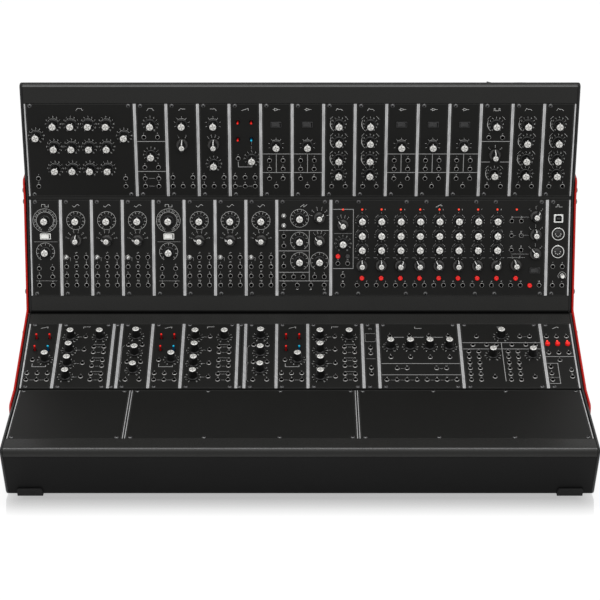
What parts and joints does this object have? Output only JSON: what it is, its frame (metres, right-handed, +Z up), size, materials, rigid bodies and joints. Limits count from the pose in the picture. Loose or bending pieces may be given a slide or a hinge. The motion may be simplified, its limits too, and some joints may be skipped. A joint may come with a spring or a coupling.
{
  "type": "modular synthesizer",
  "caption": "Modular synthesizer: two sloped metal cases joined by red side brackets, with rows of panels that carry turning knobs, switches, buttons and jack sockets.",
  "frame": {"origin": "middle of the bounding box at table height, under the case", "axes": "+X along the rows to the player's right, +Y from the player towards the back, +Z up"},
  "size_m": [0.7318, 0.4478, 0.4559],
  "materials": {
    "case_sheet": "black powder coat, satin",
    "bezel": "black anodised, satin",
    "rail": "plain extrusion",
    "bracket": "red powder coat",
    "rubber": "moulded",
    "board": "green solder mask",
    "panel": "black anodised with white print",
    "knob": "moulded, with a metal cap",
    "red_lever": "sleeve over a metal lever",
    "blue_lever": "sleeve over a metal lever",
    "steel": "plated",
    "white_plastic": "moulded",
    "black_plastic": "moulded",
    "red_button": "moulded"
  },
  "bodies": {
    "case": {"lower_shell": "case_sheet", "lower_front_bezel": "bezel", "lower_rear_bezel": "bezel", "lower_center_rail": "rail", "lower_right_cheek": "case_sheet", "lower_left_cheek": "case_sheet", "lower_power_board": "board", "left_blank_panel": "panel", "middle_blank_panel": "panel", "right_blank_panel": "panel", "left_mixer_modules": "panel", "middle_mixer_modules": "panel", "right_mixer_modules": "panel", "upper_shell": "case_sheet", "upper_front_bezel": "bezel", "upper_rear_bezel": "bezel", "upper_center_rail": "rail", "upper_right_cheek": "case_sheet", "upper_left_cheek": "case_sheet", "upper_power_board": "board", "oscillator_modules": "panel", "sequencer_module": "panel", "midi_module": "panel", "filter_bank_module": "panel", "filter_and_amplifier_modules": "panel", "right_bracket": "bracket", "left_bracket": "bracket", "front_right_foot": "rubber", "front_left_foot": "rubber", "rear_right_foot": "rubber", "rear_left_foot": "rubber"},
    "lower_power_rocker": {"lower_power_rocker": "black_plastic"},
    "controller_toggle": {"controller_toggle": "red_lever"},
    "controller_knob": {"controller_knob": "knob"},
    "mixer_knob": {"mixer_knob": "knob"},
    "attenuator_knob": {"attenuator_knob": "knob"},
    "matrix_knob": {"matrix_knob": "knob"},
    "switch_button": {"switch_button": "red_button"},
    "upper_power_rocker": {"upper_power_rocker": "black_plastic"},
    "driver_knob": {"driver_knob": "knob"},
    "white_driver_rocker": {"white_driver_rocker": "white_plastic"},
    "oscillator_knob": {"oscillator_knob": "knob"},
    "range_selector": {"range_selector": "knob"},
    "sync_toggle": {"sync_toggle": "steel"},
    "step_knob": {"step_knob": "knob"},
    "step_selector": {"step_selector": "knob"},
    "step_button": {"step_button": "red_button"},
    "sequencer_rocker": {"sequencer_rocker": "black_plastic"},
    "filter_bank_knob": {"filter_bank_knob": "knob"},
    "high_pass_selector": {"high_pass_selector": "knob"},
    "low_pass_selector": {"low_pass_selector": "knob"},
    "red_toggle": {"red_toggle": "red_lever"},
    "blue_toggle": {"blue_toggle": "blue_lever"},
    "amplifier_rocker": {"amplifier_rocker": "black_plastic"},
    "amplifier_knob": {"amplifier_knob": "knob"},
    "attack_knob": {"attack_knob": "knob"},
    "decay_knob": {"decay_knob": "knob"},
    "sustain_knob": {"sustain_knob": "knob"},
    "release_knob": {"release_knob": "knob"},
    "delay_selector": {"delay_selector": "knob"}
  },
  "joints": [
    {"name": "lower_power_rocker_joint", "type": "hinge", "parent": "case", "child": "lower_power_rocker", "pos_m": [0.2523, 0.08017, 0.10045], "axis": [0, 0.0192, 0.9998], "range_deg": [0, 16]},
    {"name": "controller_toggle_joint", "type": "hinge", "parent": "case", "child": "controller_toggle", "pos_m": [-0.3432, 0.02513, 0.13034], "axis": [1, 0, 0], "range_deg": [-12, 12]},
    {"name": "controller_knob_joint", "type": "hinge", "parent": "case", "child": "controller_knob", "pos_m": [-0.32841, -0.01415, 0.1147], "axis": [0, -0.3567, 0.9342], "range_deg": [-150, 150]},
    {"name": "mixer_knob_joint", "type": "hinge", "parent": "case", "child": "mixer_knob", "pos_m": [-0.29924, 0.02798, 0.13079], "axis": [0, -0.3567, 0.9342], "range_deg": [-150, 150]},
    {"name": "attenuator_knob_joint", "type": "hinge", "parent": "case", "child": "attenuator_knob", "pos_m": [-0.21389, 0.02966, 0.13143], "axis": [0, -0.3567, 0.9342], "range_deg": [-150, 150]},
    {"name": "matrix_knob_joint", "type": "hinge", "parent": "case", "child": "matrix_knob", "pos_m": [0.26237, 0.02918, 0.13125], "axis": [0, -0.3567, 0.9342], "range_deg": [-150, 150]},
    {"name": "switch_button_joint", "type": "slide", "parent": "case", "child": "switch_button", "axis": [0, 0.3567, -0.9342], "range_m": [0, 0.001], "stiffness_N_per_m": 150},
    {"name": "upper_power_rocker_joint", "type": "hinge", "parent": "case", "child": "upper_power_rocker", "pos_m": [0.2523, 0.13032, 0.44487], "axis": [0, -0.9655, 0.2605], "range_deg": [0, 16]},
    {"name": "driver_knob_joint", "type": "hinge", "parent": "case", "child": "driver_knob", "pos_m": [-0.33581, 0.09666, 0.26958], "axis": [0, -0.9912, 0.1323], "range_deg": [-150, 150]},
    {"name": "white_driver_rocker_joint", "type": "hinge", "parent": "case", "child": "white_driver_rocker", "pos_m": [-0.3354, 0.09387, 0.24869], "axis": [0, 0.1323, 0.9912], "range_deg": [0, 16]},
    {"name": "oscillator_knob_joint", "type": "hinge", "parent": "case", "child": "oscillator_knob", "pos_m": [-0.29517, 0.09666, 0.26958], "axis": [0, -0.9912, 0.1323], "range_deg": [-150, 150]},
    {"name": "range_selector_joint", "type": "hinge", "parent": "case", "child": "range_selector", "pos_m": [-0.29517, 0.09319, 0.2436], "axis": [0, -0.9912, 0.1323], "range_deg": [-75, 75]},
    {"name": "sync_toggle_joint", "type": "hinge", "parent": "case", "child": "sync_toggle", "pos_m": [-0.30825, 0.08961, 0.22126], "axis": [1, 0, 0], "range_deg": [-12, 12]},
    {"name": "step_knob_joint", "type": "hinge", "parent": "case", "child": "step_knob", "pos_m": [0.0818, 0.09666, 0.26958], "axis": [0, -0.9912, 0.1323], "range_deg": [-150, 150]},
    {"name": "step_selector_joint", "type": "hinge", "parent": "case", "child": "step_selector", "pos_m": [0.0818, 0.08874, 0.21022], "axis": [0, -0.9912, 0.1323], "range_deg": [-30, 30]},
    {"name": "step_button_joint", "type": "slide", "parent": "case", "child": "step_button", "axis": [0, 0.9912, -0.1323], "range_m": [0, 0.001], "stiffness_N_per_m": 150},
    {"name": "sequencer_rocker_joint", "type": "hinge", "parent": "case", "child": "sequencer_rocker", "pos_m": [0.31033, 0.08785, 0.2036], "axis": [0, 0.1323, 0.9912], "range_deg": [0, 16]},
    {"name": "filter_bank_knob_joint", "type": "hinge", "parent": "case", "child": "filter_bank_knob", "pos_m": [-0.31904, 0.08825, 0.40157], "axis": [0, -0.9928, -0.1201], "range_deg": [-150, 150]},
    {"name": "high_pass_selector_joint", "type": "hinge", "parent": "case", "child": "high_pass_selector", "pos_m": [-0.15293, 0.09163, 0.37363], "axis": [0, -0.9928, -0.1201], "range_deg": [-60, 60]},
    {"name": "low_pass_selector_joint", "type": "hinge", "parent": "case", "child": "low_pass_selector", "pos_m": [-0.11229, 0.09163, 0.37363], "axis": [0, -0.9928, -0.1201], "range_deg": [-60, 60]},
    {"name": "red_toggle_joint", "type": "hinge", "parent": "case", "child": "red_toggle", "pos_m": [-0.08047, 0.08725, 0.40481], "axis": [1, 0, 0], "range_deg": [-12, 12]},
    {"name": "blue_toggle_joint", "type": "hinge", "parent": "case", "child": "blue_toggle", "pos_m": [-0.06299, 0.09007, 0.3816], "axis": [1, 0, 0], "range_deg": [-12, 12]},
    {"name": "amplifier_rocker_joint", "type": "hinge", "parent": "case", "child": "amplifier_rocker", "pos_m": [-0.03101, 0.08835, 0.4008], "axis": [0, -0.1201, 0.9928], "range_deg": [0, 16]},
    {"name": "amplifier_knob_joint", "type": "hinge", "parent": "case", "child": "amplifier_knob", "pos_m": [-0.03101, 0.09177, 0.37248], "axis": [0, -0.9928, -0.1201], "range_deg": [-150, 150]},
    {"name": "attack_knob_joint", "type": "hinge", "parent": "case", "child": "attack_knob", "pos_m": [0.05027, 0.08827, 0.40144], "axis": [0, -0.9928, -0.1201], "range_deg": [-150, 150]},
    {"name": "decay_knob_joint", "type": "hinge", "parent": "case", "child": "decay_knob", "pos_m": [0.05027, 0.09109, 0.3781], "axis": [0, -0.9928, -0.1201], "range_deg": [-150, 150]},
    {"name": "sustain_knob_joint", "type": "hinge", "parent": "case", "child": "sustain_knob", "pos_m": [0.05027, 0.09399, 0.35411], "axis": [0, -0.9928, -0.1201], "range_deg": [-150, 150]},
    {"name": "release_knob_joint", "type": "hinge", "parent": "case", "child": "release_knob", "pos_m": [0.05027, 0.09648, 0.33358], "axis": [0, -0.9928, -0.1201], "range_deg": [-150, 150]},
    {"name": "delay_selector_joint", "type": "hinge", "parent": "case", "child": "delay_selector", "pos_m": [0.25347, 0.09333, 0.3596], "axis": [0, -0.9928, -0.1201], "range_deg": [-60, 60]}
  ]
}
